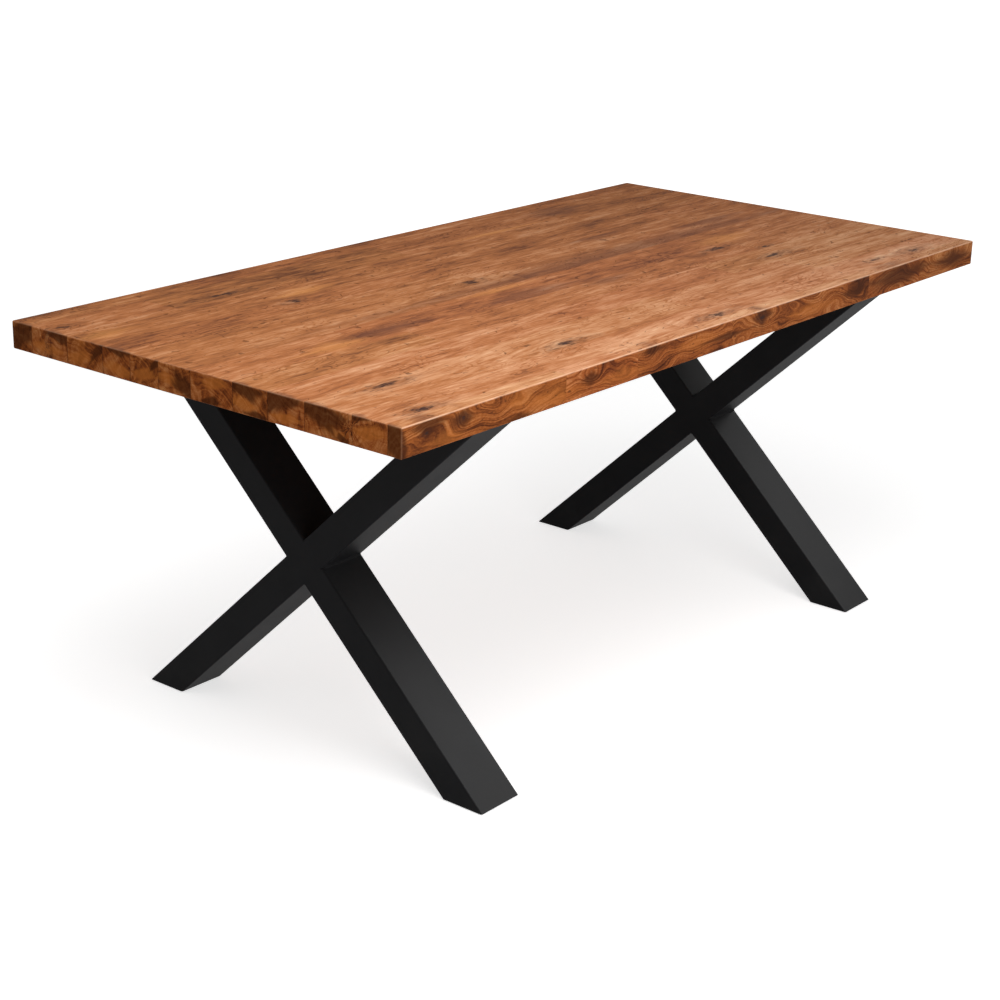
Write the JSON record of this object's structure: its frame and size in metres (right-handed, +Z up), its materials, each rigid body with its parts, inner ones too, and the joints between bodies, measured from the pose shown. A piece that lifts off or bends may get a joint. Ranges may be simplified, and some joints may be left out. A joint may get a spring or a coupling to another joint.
{
  "type": "dining table",
  "caption": "Rectangular dining table: a thick staved wooden top on crossed leg frames of black rectangular steel tube, with levelling feet hidden in the tube ends.",
  "frame": {"origin": "on the floor under the middle of the tabletop", "axes": "+X along the table's length, +Y across it to the back long side, +Z up"},
  "size_m": [1.8, 0.9, 0.75],
  "materials": {
    "oiled_wood": "oiled satin",
    "black_powder_coat": "fine satin powder coat",
    "zinc_steel": "bright zinc plated",
    "zinc_insert": "yellow zinc plated",
    "black_nylon": "moulded matt"
  },
  "bodies": {
    "table": {"stave_01": "oiled_wood", "stave_02": "oiled_wood", "stave_03": "oiled_wood", "stave_04": "oiled_wood", "stave_05": "oiled_wood", "stave_06": "oiled_wood", "stave_07": "oiled_wood", "stave_08": "oiled_wood", "stave_09": "oiled_wood", "stave_10": "oiled_wood", "stave_11": "oiled_wood", "stave_12": "oiled_wood", "left_long_tube": "black_powder_coat", "left_lower_half_tube": "black_powder_coat", "left_upper_half_tube": "black_powder_coat", "right_long_tube": "black_powder_coat", "right_lower_half_tube": "black_powder_coat", "right_upper_half_tube": "black_powder_coat", "left_top_plate": "black_powder_coat", "right_top_plate": "black_powder_coat", "left_weld_beads": "black_powder_coat", "right_weld_beads": "black_powder_coat", "left_front_foot_plate": "black_powder_coat", "left_back_foot_plate": "black_powder_coat", "right_front_foot_plate": "black_powder_coat", "right_back_foot_plate": "black_powder_coat", "left_plate_bolts": "zinc_steel", "right_plate_bolts": "zinc_steel", "left_plate_washers": "zinc_steel", "right_plate_washers": "zinc_steel", "left_threaded_inserts": "zinc_insert", "right_threaded_inserts": "zinc_insert", "foot_weld_nuts": "zinc_steel"},
    "left_front_glide": {"left_front_glide_pad": "black_nylon"},
    "left_front_screw": {"left_front_levelling_screw": "zinc_steel"},
    "left_back_glide": {"left_back_glide_pad": "black_nylon"},
    "left_back_screw": {"left_back_levelling_screw": "zinc_steel"},
    "right_front_glide": {"right_front_glide_pad": "black_nylon"},
    "right_front_screw": {"right_front_levelling_screw": "zinc_steel"},
    "right_back_glide": {"right_back_glide_pad": "black_nylon"},
    "right_back_screw": {"right_back_levelling_screw": "zinc_steel"}
  },
  "joints": [
    {"name": "left_front_foot_level", "type": "slide", "parent": "table", "child": "left_front_glide", "axis": [0, 0, -1], "range_m": [0, 0.01]},
    {"name": "left_front_screw_turn", "type": "hinge", "parent": "left_front_glide", "child": "left_front_screw", "pos_m": [-0.6, -0.35998, 0.004], "axis": [0, 0, -1], "range_deg": [0, 2880]},
    {"name": "left_back_foot_level", "type": "slide", "parent": "table", "child": "left_back_glide", "axis": [0, 0, -1], "range_m": [0, 0.01]},
    {"name": "left_back_screw_turn", "type": "hinge", "parent": "left_back_glide", "child": "left_back_screw", "pos_m": [-0.6, 0.35998, 0.004], "axis": [0, 0, -1], "range_deg": [0, 2880]},
    {"name": "right_front_foot_level", "type": "slide", "parent": "table", "child": "right_front_glide", "axis": [0, 0, -1], "range_m": [0, 0.01]},
    {"name": "right_front_screw_turn", "type": "hinge", "parent": "right_front_glide", "child": "right_front_screw", "pos_m": [0.6, -0.35998, 0.004], "axis": [0, 0, -1], "range_deg": [0, 2880]},
    {"name": "right_back_foot_level", "type": "slide", "parent": "table", "child": "right_back_glide", "axis": [0, 0, -1], "range_m": [0, 0.01]},
    {"name": "right_back_screw_turn", "type": "hinge", "parent": "right_back_glide", "child": "right_back_screw", "pos_m": [0.6, 0.35998, 0.004], "axis": [0, 0, -1], "range_deg": [0, 2880]}
  ],
  "couplings": [
    {"joint": "left_front_foot_level", "follows": "left_front_screw_turn", "m_per_rad": 0.00019894},
    {"joint": "left_back_foot_level", "follows": "left_back_screw_turn", "m_per_rad": 0.00019894},
    {"joint": "right_front_foot_level", "follows": "right_front_screw_turn", "m_per_rad": 0.00019894},
    {"joint": "right_back_foot_level", "follows": "right_back_screw_turn", "m_per_rad": 0.00019894}
  ]
}
